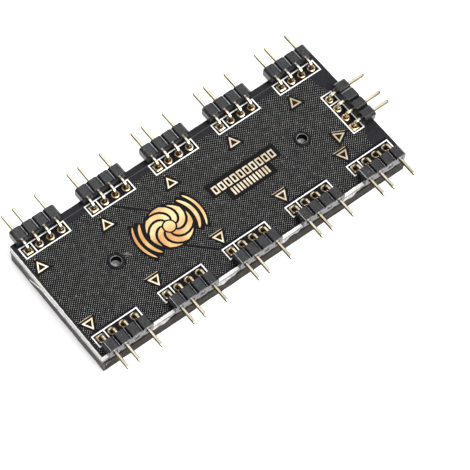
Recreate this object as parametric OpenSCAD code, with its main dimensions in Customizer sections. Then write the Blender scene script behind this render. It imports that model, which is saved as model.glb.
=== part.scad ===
// Ten-way lighting and fan hub: a bare circuit board on a foam pad, with right-angle pin headers
// along both long edges and one input header at the right-hand end.
// The origin is the centre of the board's footprint on the underside of the foam pad.
// +X runs along the board towards the input header, +Y towards the far row, +Z up.

/* [Circuit board] */
// Length of the board, along X
board_length = 73.2; // [71:0.1:120]
// Width of the board, along Y
board_width = 29; // [22:0.1:60]
// Thickness of the board
board_thickness = 1.6; // [0.8:0.1:3.2]

/* [Mounting holes] */
// Distance between the two mounting holes, along X
hole_spacing = 45; // [20:0.5:56]
// Diameter of a mounting hole
hole_diameter = 2.2; // [2:0.1:4.5]

/* [Foam pad] */
// Thickness of the foam pad
pad_thickness = 3.4; // [2.2:0.1:8]
// Distance that the foam pad stands out past the near edge of the board
pad_overhang = 0.5; // [0:0.1:2]
// Thickness of the pale adhesive layer between the pad and the board
film_thickness = 0.8; // [0.05:0.05:1.2]
// Gap between the foam and each solder joint that dents it
dent_clearance = 0.05; // [0.02:0.01:0.2]

/* [Header layout] */
// Number of output headers in each long row
outputs_per_row = 5; // [1:1:5]
// Distance between neighbouring headers in a row
header_spacing = 15.24; // [13:0.01:15.8]
// Distance from the far edge of the board to the solder tails of the far row
far_row_inset = 2.8; // [2:0.05:5]
// Distance from the near edge of the board to the solder tails of the near row
near_row_inset = 3.25; // [2:0.05:5]
// Distance from the right-hand end of the board to the solder tails of the input header
input_inset = 4.1; // [2:0.05:6]

/* [Header] */
// Number of pins in a header
pins_per_header = 4; // [1:1:4]
// Distance between neighbouring pins
pin_pitch = 2.54; // [2:0.01:3.1]
// Which pin of a header is cut short, counted from its first pin; 0 for none
snipped_pin = 3; // [0:1:4]
// Distance from the solder tails to the rear face of the plastic body
body_setback = 1.7; // [1.2:0.05:3]
// Depth of the plastic body, along the outer pins
body_depth = 2.6; // [1.5:0.05:5]
// Height of the plastic body
body_height = 2.54; // [2.2:0.01:4]
// Chamfer along each block of the plastic body, which leaves the grooves between blocks
block_chamfer = 0.4; // [0.1:0.05:0.5]

/* [Pins] */
// Width of the square pins
pin_width = 0.64; // [0.4:0.01:0.8]
// Length of the outer pins past the plastic body
outer_pin_length = 4.3; // [2:0.1:9]
// Length that a snipped pin keeps past the plastic body
snipped_length = 0.15; // [0.05:0.05:1]
// Chamfer at the tip of an outer pin
tip_chamfer = 0.16; // [0.05:0.01:0.19]
// Radius of the bend from the solder tail to the outer pin, at the middle of the pin
bend_radius = 0.75; // [0.45:0.05:1]
// Length of a solder tail below the board
tail_length = 1.3; // [1:0.1:2]

/* [Solder joints] */
// Gap between the corner of a square tail and the wall of its hole
barrel_clearance = 0.06; // [0.03:0.01:0.2]
// Width of the solder ring around a hole, on the underside of the board
ring_width = 0.35; // [0.2:0.05:0.5]
// Height of the solder cone below the board
cone_height = 0.95; // [0.5:0.05:1]
// Gap between the solder in a hole and the top face of the board
solder_recess = 0.3; // [0.1:0.05:0.6]

/* [Hidden] */
$fn = 48;

output_count = 2 * outputs_per_row;
output_names = [for (i = [1 : output_count]) str("output_", i)];
input_name = "input";
header_names = concat(output_names, [input_name]);

film_bottom = pad_thickness;
board_bottom = film_bottom + film_thickness;
board_top = board_bottom + board_thickness;

pin_height = body_height / 2;
body_front = body_setback + body_depth;
barrel_radius = pin_width * sqrt(2) / 2 + barrel_clearance;
ring_radius = barrel_radius + ring_width;
cone_tip_radius = barrel_radius;

// Where each header stands: [x, y, turn about Z, side of its first pin]
function row_x(column) = (column - (outputs_per_row - 1) / 2) * header_spacing;
far_places = [for (column = [0 : outputs_per_row - 1])
    [row_x(column), board_width / 2 - far_row_inset, 0, -1]];
near_places = [for (column = [0 : outputs_per_row - 1])
    [row_x(column), near_row_inset - board_width / 2, 180, 1]];
input_place = [board_length / 2 - input_inset, 0, -90, 1];
header_places = concat(far_places, near_places, [input_place]);
header_indices = [0 : len(header_places) - 1];

// Pin positions along a header, numbered from 1 at the middle of the header's first block
function pin_x(number, first_side) =
    first_side * ((pins_per_header + 1) / 2 - number) * pin_pitch;

// Puts its children on the top face of the board, with the outer pins pointing along local +Y
module at_header(place) {
    translate([place[0], place[1], board_top])
        rotate([0, 0, place[2]])
            children();
}

module at_each_pin(place) {
    for (number = [1 : pins_per_header])
        translate([pin_x(number, place[3]), 0, 0])
            children();
}

// A square tail from its lower end to its bend, then the outer pin, seen from the side
module pin_side(reach) {
    half = pin_width / 2;
    bend_middle = [bend_radius, pin_height - bend_radius];
    tail_bottom = -board_thickness - tail_length;
    translate([-half, tail_bottom])
        square([pin_width, bend_middle[1] - tail_bottom]);
    translate([bend_radius, pin_height - half])
        square([reach - bend_radius, pin_width]);
    translate(bend_middle)
        intersection() {
            difference() {
                circle(r = bend_radius + half);
                circle(r = bend_radius - half);
            }
            translate([-2 * bend_radius, 0])
                square(2 * bend_radius);
        }
}

// The same pin seen from above, with its tip chamfered
module pin_plan(reach, chamfer) {
    half = pin_width / 2;
    polygon([
        [-half, -half], [half, -half],
        [half, reach - chamfer], [half - chamfer, reach],
        [chamfer - half, reach], [-half, reach - chamfer]
    ]);
}

module pin(reach, chamfer) {
    rise = board_thickness + tail_length + body_height;
    intersection() {
        rotate([90, 0, 90])
            linear_extrude(pin_width, center = true)
                pin_side(reach);
        translate([0, 0, -board_thickness - tail_length])
            linear_extrude(rise)
                pin_plan(reach, chamfer);
    }
}

module pin_set(place) {
    color([0.86, 0.69, 0.35])
        at_header(place)
            for (number = [1 : pins_per_header])
                translate([pin_x(number, place[3]), 0, 0])
                    if (number == snipped_pin) pin(body_front + snipped_length, 0);
                    else pin(body_front + outer_pin_length, tip_chamfer);
}

// One block of the plastic body seen along its pin
module block_outline() {
    half = pin_pitch / 2;
    polygon([
        [block_chamfer - half, 0], [half - block_chamfer, 0],
        [half, block_chamfer], [half, body_height - block_chamfer],
        [half - block_chamfer, body_height], [block_chamfer - half, body_height],
        [-half, body_height - block_chamfer], [-half, block_chamfer]
    ]);
}

module header_body(place) {
    color([0.16, 0.17, 0.19])
        at_header(place)
            translate([0, body_front, 0])
                rotate([90, 0, 0])
                    linear_extrude(body_depth)
                        difference() {
                            at_each_pin(place) block_outline();
                            at_each_pin(place)
                                translate([0, pin_height])
                                    square(pin_width, center = true);
                        }
}

// The outside of one solder joint: the filled hole and the cone below the board
module joint_shape(grow = 0) {
    rotate_extrude()
        polygon([
            [0, -solder_recess],
            [barrel_radius, -solder_recess],
            [barrel_radius, -board_thickness],
            [ring_radius + grow, -board_thickness],
            [cone_tip_radius + grow, -board_thickness - cone_height - grow],
            [0, -board_thickness - cone_height - grow]
        ]);
}

module solder_joints(place) {
    color([0.72, 0.72, 0.72])
        at_header(place)
            at_each_pin(place)
                difference() {
                    joint_shape();
                    translate([0, 0, -board_thickness - tail_length / 2])
                        cube([pin_width, pin_width, 2 * board_thickness + tail_length], center = true);
                }
}

module mounting_holes(depth) {
    for (side = [-1, 1])
        translate([side * hole_spacing / 2, 0, board_top - depth / 2])
            cylinder(d = hole_diameter, h = 2 * depth, center = true);
}

module circuit_board() {
    color([0.09, 0.09, 0.11])
        difference() {
            translate([-board_length / 2, -board_width / 2, board_bottom])
                cube([board_length, board_width, board_thickness]);
            mounting_holes(board_thickness);
            for (place = header_places)
                at_header(place)
                    at_each_pin(place)
                        translate([0, 0, -board_thickness / 2])
                            cylinder(r = barrel_radius, h = 2 * board_thickness, center = true);
        }
}

module board_adhesive() {
    color([0.85, 0.85, 0.83])
        difference() {
            translate([-board_length / 2, -board_width / 2, film_bottom])
                cube([board_length, board_width, film_thickness]);
            for (place = header_places)
                at_header(place)
                    at_each_pin(place)
                        translate([0, 0, -board_thickness - film_thickness / 2])
                            cylinder(
                                r = ring_radius + dent_clearance,
                                h = 2 * film_thickness,
                                center = true
                            );
        }
}

// The foam gives way around each joint and each tail below the board
module foam_pad() {
    tail_dent = pin_width + 2 * dent_clearance;
    color([0.17, 0.16, 0.15])
        difference() {
            translate([-board_length / 2, -board_width / 2 - pad_overhang, 0])
                cube([board_length, board_width + pad_overhang, pad_thickness]);
            for (place = header_places)
                at_header(place)
                    at_each_pin(place) {
                        joint_shape(dent_clearance);
                        translate([0, 0, -board_thickness - (tail_length + dent_clearance) / 2])
                            cube([tail_dent, tail_dent, tail_length + dent_clearance], center = true);
                    }
        }
}

circuit_board();
board_adhesive();
foam_pad();
for (i = header_indices) {
    header_body(header_places[i]);
    pin_set(header_places[i]);
    solder_joints(header_places[i]);
}
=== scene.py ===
"""Looks of the ten-way lighting and fan hub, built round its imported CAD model.

New pieces are modelled in millimetres in the CAD model's own frame, and scaled to metres as they are settled.
"""

import logging
import math
from collections.abc import Callable, Iterable, Sequence
from dataclasses import dataclass, field
from enum import Enum
from functools import cache, reduce
from operator import or_

import bmesh
import bpy
from mathutils import Matrix, Vector, noise

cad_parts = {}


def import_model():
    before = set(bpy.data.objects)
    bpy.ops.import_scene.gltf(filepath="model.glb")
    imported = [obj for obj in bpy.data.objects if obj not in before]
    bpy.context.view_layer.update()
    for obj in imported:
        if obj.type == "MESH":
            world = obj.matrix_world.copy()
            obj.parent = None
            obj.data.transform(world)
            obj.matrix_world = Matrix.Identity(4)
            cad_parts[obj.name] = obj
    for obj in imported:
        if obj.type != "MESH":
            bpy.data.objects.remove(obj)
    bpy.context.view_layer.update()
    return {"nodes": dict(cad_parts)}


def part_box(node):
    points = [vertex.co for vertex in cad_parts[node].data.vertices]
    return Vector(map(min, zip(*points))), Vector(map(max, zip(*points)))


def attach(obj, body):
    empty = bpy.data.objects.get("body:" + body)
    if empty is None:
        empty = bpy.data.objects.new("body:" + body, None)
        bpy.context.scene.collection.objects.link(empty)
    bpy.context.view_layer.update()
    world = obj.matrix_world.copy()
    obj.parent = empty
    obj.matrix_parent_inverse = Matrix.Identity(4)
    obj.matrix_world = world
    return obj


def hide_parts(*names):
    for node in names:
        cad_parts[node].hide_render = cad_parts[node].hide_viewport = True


Point = tuple[float, float]
Triple = tuple[float, float, float]
Colour = tuple[float, float, float, float]
Mesh = bmesh.types.BMesh
Vert = bmesh.types.BMVert
Face = bmesh.types.BMFace
Item = bpy.types.Object

LOG = logging.getLogger("hub")
MM = 0.001
BODY = "root"
SINK = 0.01  # how far the printed and plated pieces reach down into the board
WHITE: Colour = (1.0, 1.0, 1.0, 1.0)


@dataclass(frozen=True)
class Plan:
    """Places that finishes and pieces share, in millimetres."""

    half_x: float = 36.6
    half_y: float = 14.5
    foam_top: float = 3.4
    bottom: float = 4.2
    top: float = 5.8
    pitch: float = 15.24
    far_row: float = 11.7
    near_row: float = -11.25
    hole_x: float = 22.5
    emblem: Point = (-9.9, 0.0)
    far_mark: Point = (-3.95, 6.63)  # a row's mark has its x counted from its own header
    near_mark: Point = (-3.81, -6.78)
    input_mark: Point = (27.85, -3.8)


PLAN = Plan()


def tint(red: float, green: float, blue: float) -> Colour:
    """Gives the linear colour of screen values.

    Args:
        red: its red, from 0 to 255.
        green: its green.
        blue: its blue.

    Returns:
        The opaque colour.
    """
    def linear(value: float) -> float:
        """Undoes the screen's gamma on one channel."""
        share = value / 255
        return share / 12.92 if share <= 0.04045 else ((share + 0.055) / 1.055) ** 2.4
    return linear(red), linear(green), linear(blue), 1.0


def clamp(value: float) -> float:
    """Keeps a value between 0 and 1."""
    return min(1.0, max(0.0, value))


def box_of(node: str) -> tuple[Vector, Vector]:
    """Gives the lowest and highest corner of a CAD node, in millimetres."""
    low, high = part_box(node)
    return low / MM, high / MM


class Sock:
    """An output of a shader node that Python's operators work on.

    Comparisons and the operators &, | and ~ make and join masks of 0 and 1.
    """

    def __init__(self, paint: "Paint", socket: bpy.types.NodeSocket) -> None:
        """Wraps a socket of the paint's node tree."""
        self.paint = paint
        self.socket = socket

    def __add__(self, other: "Sock | float") -> "Sock":
        """Adds."""
        return self.paint.math("ADD", self, other)

    __radd__ = __add__

    def __sub__(self, other: "Sock | float") -> "Sock":
        """Subtracts."""
        return self.paint.math("SUBTRACT", self, other)

    def __rsub__(self, other: float) -> "Sock":
        """Subtracts from a number."""
        return self.paint.math("SUBTRACT", other, self)

    def __mul__(self, other: "Sock | float") -> "Sock":
        """Multiplies."""
        return self.paint.math("MULTIPLY", self, other)

    def __abs__(self) -> "Sock":
        """Drops the sign."""
        return self.paint.math("ABSOLUTE", self)

    def __lt__(self, other: "Sock | float") -> "Sock":
        """Is 1 where this is the lower."""
        return self.paint.math("LESS_THAN", self, other)

    def __gt__(self, other: "Sock | float") -> "Sock":
        """Is 1 where this is the higher."""
        return self.paint.math("GREATER_THAN", self, other)

    def __and__(self, other: "Sock") -> "Sock":
        """Is 1 where both are."""
        return self.paint.math("MINIMUM", self, other)

    def __or__(self, other: "Sock") -> "Sock":
        """Is 1 where either is."""
        return self.paint.math("MAXIMUM", self, other)

    def __invert__(self) -> "Sock":
        """Is 1 where this is 0."""
        return 1 - self


class Paint:
    """The node tree of one finish, with the piece's own coordinates in millimetres."""

    def __init__(self, name: str) -> None:
        """Starts an empty material.

        Args:
            name: the material's name.
        """
        self.material = bpy.data.materials.new(name)
        self.material.use_nodes = True
        self.tree = self.material.node_tree
        self.tree.nodes.clear()
        metres = self.make("ShaderNodeTexCoord", output="Object")
        self.place = self.make(
            "ShaderNodeVectorMath", {"operation": "MULTIPLY"}, {0: metres, 1: (1 / MM,) * 3}
        )
        split = self.make("ShaderNodeSeparateXYZ", inputs={0: self.place}).socket.node
        self.x, self.y, self.z = (Sock(self, out) for out in split.outputs)

    def make(
        self,
        kind: str,
        settings: dict[str, object] | None = None,
        inputs: dict[str | int, object] | None = None,
        output: str | int = 0,
    ) -> Sock:
        """Adds a node.

        Args:
            kind: the node's type.
            settings: attributes set before anything else.
            inputs: a value or a Sock for each socket, by name or index.
            output: the output to return, by name or index.

        Returns:
            The chosen output.
        """
        node = self.tree.nodes.new(kind)
        for name, value in (settings or {}).items():
            setattr(node, name, value)
        for name, value in (inputs or {}).items():
            if isinstance(value, Sock):
                self.tree.links.new(value.socket, node.inputs[name])
            else:
                node.inputs[name].default_value = value
        return Sock(self, node.outputs[output])

    def math(self, operation: str, first: Sock | float, second: Sock | float = 0.0) -> Sock:
        """Works on one or two numbers with a Math node."""
        return self.make("ShaderNodeMath", {"operation": operation}, {0: first, 1: second})

    def blend(self, mask: Sock | float, first: Sock | Colour, second: Sock | Colour) -> Sock:
        """Mixes two colours, the first where the mask is 0 and the second where it is 1."""
        inputs = {0: mask, 6: first, 7: second}
        return self.make("ShaderNodeMix", {"data_type": "RGBA"}, inputs, output=2)

    def mottle(self, value: Sock, band: Point, first: Sock | Colour, second: Sock | Colour) -> Sock:
        """Mixes two colours by where a value lies in a band, the first at its low end."""
        return self.blend(self.ease(value, *band), first, second)

    def shift(self, scale: Triple) -> Sock:
        """Stretches the piece's coordinates along each axis."""
        settings = {"operation": "MULTIPLY"}
        return self.make("ShaderNodeVectorMath", settings, {0: self.place, 1: scale})

    def noise(self, scale: float, detail: float = 2.0, at: Sock | None = None) -> Sock:
        """Gives soft noise.

        Args:
            scale: lumps per millimetre.
            detail: how many finer layers are added.
            at: coordinates other than the piece's own.

        Returns:
            A value round 0.5.
        """
        inputs = {"Vector": at or self.place, "Scale": scale, "Detail": detail}
        return self.make("ShaderNodeTexNoise", inputs=inputs)

    def cells(self, scale: float) -> Sock:
        """Gives a Voronoi pattern with that many cells per millimetre."""
        return self.make("ShaderNodeTexVoronoi", inputs={"Vector": self.place, "Scale": scale})

    def ease(self, value: Sock, low: float, high: float) -> Sock:
        """Turns a value smoothly into 0 at low and 1 at high."""
        inputs = {"Value": value, "From Min": low, "From Max": high}
        return self.make("ShaderNodeMapRange", {"interpolation_type": "SMOOTHSTEP"}, inputs)

    def inside(self, x: Sock, y: Sock, centre: Point, half: Point) -> Sock:
        """Is 1 inside a rectangle with that middle and half width and height."""
        return (abs(x - centre[0]) < half[0]) & (abs(y - centre[1]) < half[1])

    @staticmethod
    def any_of(*masks: Sock) -> Sock:
        """Is 1 where any of the masks is."""
        return reduce(or_, masks)

    def near_hole(self, radius: float) -> Sock:
        """Is 1 within a distance of a mounting hole's axis."""
        beside = abs(self.x) - PLAN.hole_x
        return (beside * beside + self.y * self.y) < radius * radius

    def bump(self, height: Sock, depth: float, strength: float = 1.0) -> Sock:
        """Makes a normal from a height.

        Args:
            height: a value from 0 to 1.
            depth: millimetres between 0 and 1.
            strength: how far the normal tilts.

        Returns:
            The normal.
        """
        inputs = {"Height": height, "Distance": depth * MM, "Strength": strength}
        return self.make("ShaderNodeBump", inputs=inputs)

    def finish(self, **sockets: object) -> bpy.types.Material:
        """Joins everything in a Principled shader.

        Args:
            **sockets: a value or Sock for each input, its name in lower case with underscores.

        Returns:
            The material.
        """
        named = {k.replace("_", " ").title().replace("Ior", "IOR"): v for k, v in sockets.items()}
        shader = self.make("ShaderNodeBsdfPrincipled", inputs=named)
        end = self.tree.nodes.new("ShaderNodeOutputMaterial")
        self.tree.links.new(shader.socket, end.inputs["Surface"])
        return self.material


@dataclass(frozen=True)
class Finish:
    """A finish with the name of its material and the record's slot that it belongs to."""

    name: str
    slot: str

    @cache
    def material(self) -> bpy.types.Material:
        """Builds the material, the first time that it is asked for."""
        return self.mix(Paint(self.name))

    def mix(self, paint: Paint) -> bpy.types.Material:
        """Builds the finish's shader in an empty node tree."""
        raise NotImplementedError


@dataclass(frozen=True)
class MaskFinish(Finish):
    """Black solder mask over a cross-hatched copper pour, with bare glass-fibre edges."""

    hatch_pitch: float = 0.40
    stripe: float = 0.28
    speck_stripe: float = 0.3
    soft: float = 0.05
    row_gaps: tuple[tuple[Point, Point], ...] = (
        ((0.0, PLAN.far_row), (5.2, 1.34)), ((0.0, PLAN.near_row), (5.2, 1.9)),
    )
    gaps: tuple[tuple[Point, Point], ...] = (
        ((32.69, 0.03), (1.4, 5.2)), ((8.8, 1.25), (8.3, 1.6)), ((8.75, -1.5), (5.5, 1.55)),
    )
    # How far each mark's opening starts before its base, half of the opening's width, and its height
    mark_gaps: tuple[Triple, ...] = ((0.46, 1.95, 3.75), (0.46, 2.0, 3.7), (0.5, 1.95, 3.9))
    rotor_gap: float = 5.0
    arc_gaps: tuple[Point, ...] = ((6.5, 0.93), (7.85, 0.77))
    hole_gap: float = 1.78
    sleeve: float = 1.6
    rim: float = 0.42
    band_start: float = 11.75
    far_line: float = 13.05
    gap: Colour = tint(2, 2, 3)
    smooth: Colour = tint(24, 23, 26)
    smooth_pale: Colour = tint(46, 45, 50)
    opened: Colour = tint(7, 6, 7)
    trace: Colour = tint(11, 11, 11)
    crossing: Colour = tint(184, 184, 182)
    speck: Colour = tint(226, 224, 216)
    line: Colour = tint(96, 96, 99)
    rubbed: Colour = tint(112, 110, 106)
    covered: Colour = tint(16, 15, 15)
    glass: Colour = tint(232, 231, 226)
    glass_dark: Colour = tint(142, 138, 130)
    glass_foot_shade: Colour = tint(74, 70, 66)

    @staticmethod
    def triangle(across: Sock, along: Sock, half: float, height: float) -> Sock:
        """Is 1 inside an upright triangle, its base on along = 0."""
        return (along > 0) & ((abs(across) + along * (half / height)) < half)

    def openings(self, paint: Paint) -> Sock:
        """Finds where the copper pour is left open.

        Args:
            paint: the finish's node tree.

        Returns:
            A mask of the pads, the marks, the emblem, the bars and the holes.
        """
        x, y, pitch = paint.x, paint.y, PLAN.pitch
        across = paint.math("FLOORED_MODULO", x + 2.5 * pitch, pitch) - pitch / 2
        pads = [paint.inside(across, y, *gap) for gap in self.row_gaps]
        boxes = [paint.inside(x, y, *gap) for gap in self.gaps]
        far, near, right = PLAN.far_mark, PLAN.near_mark, PLAN.input_mark
        axes = [(across - far[0], y - far[1]), (across - near[0], near[1] - y), (y - right[1], x - right[0])]
        marks = [
            self.triangle(beside, along + lead, half, height)
            for (beside, along), (lead, half, height) in zip(axes, self.mark_gaps)
        ]
        beside = abs(x - PLAN.emblem[0])
        reach = paint.math("SQRT", beside * beside + y * y)
        arcs = [(reach < radius) & (abs(y) < beside * slope) for radius, slope in self.arc_gaps]
        rounds = (reach < self.rotor_gap, paint.near_hole(self.hole_gap))
        return paint.any_of(*pads, *boxes, *marks, *arcs, *rounds)

    def borders(self, paint: Paint) -> Sock:
        """Finds the pour's unhatched borders.

        Args:
            paint: the finish's node tree.

        Returns:
            A mask of the solid bands at the far and right-hand edges and the thin rim at the others.
        """
        x, y = paint.x, paint.y
        right = (x - 32.6) * 2 - paint.math("MAXIMUM", 8.0 - abs(y - 0.2), 0.0) > 0
        rim = ((x + PLAN.half_x) < self.rim) | ((y + PLAN.half_y) < self.rim)
        return right | rim | (y > self.band_start)

    def cuts(self, paint: Paint) -> Sock:
        """Finds the two thin diagonal gaps that split the pour.

        Args:
            paint: the finish's node tree.

        Returns:
            Their mask.
        """
        x, y = paint.x, paint.y
        upper = (abs(x + y + 6.1) < 0.2) & paint.inside(x, y, (-13.2, 7.0), (3.4, 3.5))
        lower = (abs(x + y + 14.9) < 0.2) & paint.inside(x, y, (-7.6, -7.2), (3.0, 3.0))
        return upper | lower

    def stripes(self, paint: Paint, along: Sock, width: float) -> Sock:
        """Draws evenly spaced diagonal lines.

        Args:
            paint: the finish's node tree.
            along: the distance that the lines are counted along, times the root of 2.
            width: the lines' share of the pitch.

        Returns:
            The lines' mask, with soft sides.
        """
        turn = paint.math("FRACT", (along + 200) * (math.sqrt(0.5) / self.hatch_pitch))
        side = 0.5 - width / 2
        return paint.ease(abs(turn - 0.5), side - self.soft, side + self.soft)

    def hatch(self, paint: Paint, width: float) -> tuple[Sock, Sock]:
        """Gives the masks of the rising and the falling lines."""
        along = (paint.x - paint.y, paint.x + paint.y)
        return self.stripes(paint, along[0], width), self.stripes(paint, along[1], width)

    def speckles(self, paint: Paint) -> Sock:
        """Gives scattered brighter crossings, so that the weave looks uneven."""
        rising, falling = self.hatch(paint, self.speck_stripe)
        return paint.ease(paint.noise(1.7), 0.62, 0.7) * (rising * falling)

    def scuff(self, paint: Paint) -> Sock:
        """Draws the small rubbed place beside the left-hand hole.

        Args:
            paint: the finish's node tree.

        Returns:
            Its mask.
        """
        along, across = paint.x + 19.7 - paint.y, paint.x + 19.9 + paint.y
        near = paint.noise(2.6, 4.0) - abs(along) * 0.22 - abs(across) * 0.75
        return paint.ease(near, 0.1, 0.3) * 0.6

    def bare(self, paint: Paint) -> Sock:
        """Finds the laminate that no mask covers.

        Args:
            paint: the finish's node tree.

        Returns:
            A mask of the cut sides and of the chipped rim of the face.
        """
        wander = paint.noise(1.6, 4.0) * 0.20
        sides = (PLAN.half_x - abs(paint.x), PLAN.half_y - abs(paint.y))
        return (paint.math("MINIMUM", *sides) < wander - 0.05) | (paint.z < PLAN.top - 0.07)

    def fibres(self, paint: Paint) -> Sock:
        """Colours the cut glass fibre: pale, with a thin grey line along its middle and painted shade along
        its foot.

        Args:
            paint: the finish's node tree.

        Returns:
            The colour.
        """
        fine = paint.noise(3.5, 3.0, paint.shift((1.0, 1.0, 2.2)))
        streak = paint.noise(1.0, 2.0, paint.shift((0.6, 0.6, 11.0)))
        dark = paint.ease(streak * 0.6 + fine * 0.4, 0.44, 0.66)
        glass = paint.blend(dark * 0.6, self.glass, self.glass_dark)
        line = abs(paint.z - (PLAN.bottom + PLAN.top) / 2 - fine * 0.24 + 0.2)
        glass = paint.blend(~paint.ease(line, 0.05, 0.2) * 0.75, glass, self.glass_dark)
        # Painted shade: the fibre turns dark at its foot, where the gap under the board lies in shade.
        return paint.blend(~paint.ease(paint.z, PLAN.bottom, PLAN.bottom + 0.09), glass, self.glass_foot_shade)

    def mix(self, paint: Paint) -> bpy.types.Material:
        """Builds the shader.

        Args:
            paint: an empty node tree.

        Returns:
            The material.
        """
        opened = self.openings(paint) | self.cuts(paint)
        solid = opened | self.borders(paint)
        grain = paint.noise(6.0, 3.0)
        patchy = paint.ease(paint.noise(0.9, 3.0), 0.3, 0.7) * 0.45 + 0.55
        rising, falling = (lines * ~solid for lines in self.hatch(paint, self.stripe))
        smooth = paint.mottle(grain, (0.35, 0.75), self.smooth, self.smooth_pale)
        smooth = paint.blend(opened * 0.85, smooth, self.opened)
        face = paint.blend(solid, self.gap, smooth)
        face = paint.blend((rising | falling) * patchy, face, self.trace)
        face = paint.blend(rising * falling * patchy, face, self.crossing)
        face = paint.blend(self.speckles(paint) * ~solid, face, self.speck)
        far_line = paint.inside(paint.x, paint.y, (0.0, self.far_line), (36.0, 0.08))
        face = paint.blend(far_line * 0.4, face, self.line)
        face = paint.blend(self.scuff(paint), face, self.rubbed)
        sleeve = paint.near_hole(self.sleeve)
        bare = self.bare(paint) & ~sleeve
        return paint.finish(
            base_color=paint.blend(bare, paint.blend(sleeve, face, self.covered), self.fibres(paint)),
            roughness=paint.ease(grain, 0.3, 0.8) * 0.10 + 0.34 + bare * 0.25,
            specular_ior_level=0.09,
            normal=paint.bump((rising | falling) * 0.7 + grain * 0.15, 0.02, 0.5),
        )


@dataclass(frozen=True)
class GoldFinish(Finish):
    """Gold plating with a soft drift between two colours, brown stains and a fine grain.

    It can be painted a darker brown at the bends of the near row's pins as painted dark reflection, fade
    towards the right-hand end, or be painted olive along the near edge as painted dark reflection.
    """

    light: Colour
    deep: Colour
    roughness: float
    drift: float
    grain: float = 9.0
    spread: float = 0.16
    relief: float = 0.35
    stain: float = 0.45
    bend_reflection: bool = False
    fading: float = 0.0
    near_reflection: float = 0.0
    brown: Colour = tint(118, 82, 50)
    faded: Colour = tint(138, 128, 108)
    near_reflection_pale: Colour = tint(184, 172, 146)
    near_reflection_dark: Colour = tint(84, 72, 50)
    bend_reflection_colour: Colour = tint(136, 104, 54)

    def mix(self, paint: Paint) -> bpy.types.Material:
        """Builds the shader.

        Args:
            paint: an empty node tree.

        Returns:
            The material.
        """
        slow, fine = paint.noise(self.drift), paint.noise(self.grain, 3.0)
        colour = paint.mottle(slow * 0.75 + fine * 0.25, (0.36, 0.64), self.light, self.deep)
        stain = paint.ease(paint.noise(self.grain * 0.35, 3.0), 0.62, 0.78)
        colour = paint.blend(stain * self.stain, colour, self.brown)
        colour = paint.blend(paint.ease(paint.x, -18.0, 34.0) * self.fading, colour, self.faded)
        # Painted dark reflection: along the near edge the gold is painted a darker olive.
        if self.near_reflection:
            near = ~paint.ease(paint.y, -9.0, -8.0) * self.near_reflection
            colour = paint.blend(near, colour, paint.blend(fine, self.near_reflection_pale, self.near_reflection_dark))
        # Painted dark reflection: the bends of the near row's pins are painted a darker brown.
        if self.bend_reflection:
            bend = ~paint.ease(abs(paint.y - PLAN.near_row), 0.75, 1.1)
            colour = paint.blend(bend * (0.2 + fine * 0.5), colour, self.bend_reflection_colour)
        return paint.finish(
            base_color=colour,
            metallic=1.0,
            roughness=paint.ease(fine, 0.3, 0.7) * self.spread + self.roughness,
            normal=paint.bump(fine, 0.01, self.relief),
        )


@dataclass(frozen=True)
class PlasticFinish(Finish):
    """Satin moulded plastic with flow marks and specks, and a paler grey painted on the near row's front
    faces as painted reflection.
    """

    body: Colour = tint(5, 5, 7)
    pale: Colour = tint(28, 29, 33)
    speck: Colour = tint(92, 96, 92)
    front_reflection: Colour = tint(112, 108, 113)
    roughness: float = 0.20
    front: float = -15.50

    def mix(self, paint: Paint) -> bpy.types.Material:
        """Builds the shader.

        Args:
            paint: an empty node tree.

        Returns:
            The material.
        """
        cloud = paint.noise(0.8, 4.0)
        fine = paint.noise(7.0, 4.0)
        streak = paint.noise(2.0, 3.0, paint.shift((3.0, 0.5, 1.0)))
        colour = paint.mottle(cloud * 0.4 + streak * 0.6, (0.40, 0.62), self.body, self.pale)
        colour = paint.blend(paint.ease(paint.noise(3.2), 0.62, 0.70) * 0.5, colour, self.speck)
        # Painted reflection: the near row's front faces are painted a paler grey.
        front_reflection = ~paint.ease(paint.y, self.front - 0.06, self.front) * (0.2 + cloud * 0.5)
        return paint.finish(
            base_color=paint.blend(front_reflection, colour, self.front_reflection),
            roughness=paint.ease(fine, 0.25, 0.75) * 0.14 + self.roughness,
            specular_ior_level=0.55,
            normal=paint.bump(fine * 0.5 + streak * 0.5, 0.05, 0.5),
        )


@dataclass(frozen=True)
class PrintFinish(Finish):
    """White printed ink, a little uneven at its surface."""

    ink: Colour = tint(243, 243, 240)
    thin: Colour = tint(205, 206, 204)

    def mix(self, paint: Paint) -> bpy.types.Material:
        """Builds the shader.

        Args:
            paint: an empty node tree.

        Returns:
            The material.
        """
        fine = paint.noise(5.0, 3.0)
        return paint.finish(
            base_color=paint.mottle(fine, (0.5, 0.8), self.ink, self.thin),
            roughness=paint.ease(fine, 0.3, 0.7) * 0.15 + 0.5,
            normal=paint.bump(fine, 0.01, 0.3),
        )


@dataclass(frozen=True)
class SolderFinish(Finish):
    """Solder that is brown with flux inside the holes and grey on the cones below."""

    flux: Colour = tint(158, 110, 64)
    dark: Colour = tint(78, 52, 28)
    tin: Colour = tint(176, 177, 176)
    tin_dark: Colour = tint(132, 131, 128)

    def mix(self, paint: Paint) -> bpy.types.Material:
        """Builds the shader.

        Args:
            paint: an empty node tree.

        Returns:
            The material.
        """
        fine = paint.noise(4.0, 3.0)
        brown = paint.mottle(fine, (0.4, 0.65), self.dark, self.flux)
        grey = paint.mottle(fine, (0.35, 0.7), self.tin, self.tin_dark)
        inside = paint.z > PLAN.bottom + 0.02
        return paint.finish(
            base_color=paint.blend(inside, grey, brown),
            metallic=0.9 - inside * 0.5,
            roughness=fine * 0.2 + 0.28,
            normal=paint.bump(fine, 0.03, 0.4),
        )


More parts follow.
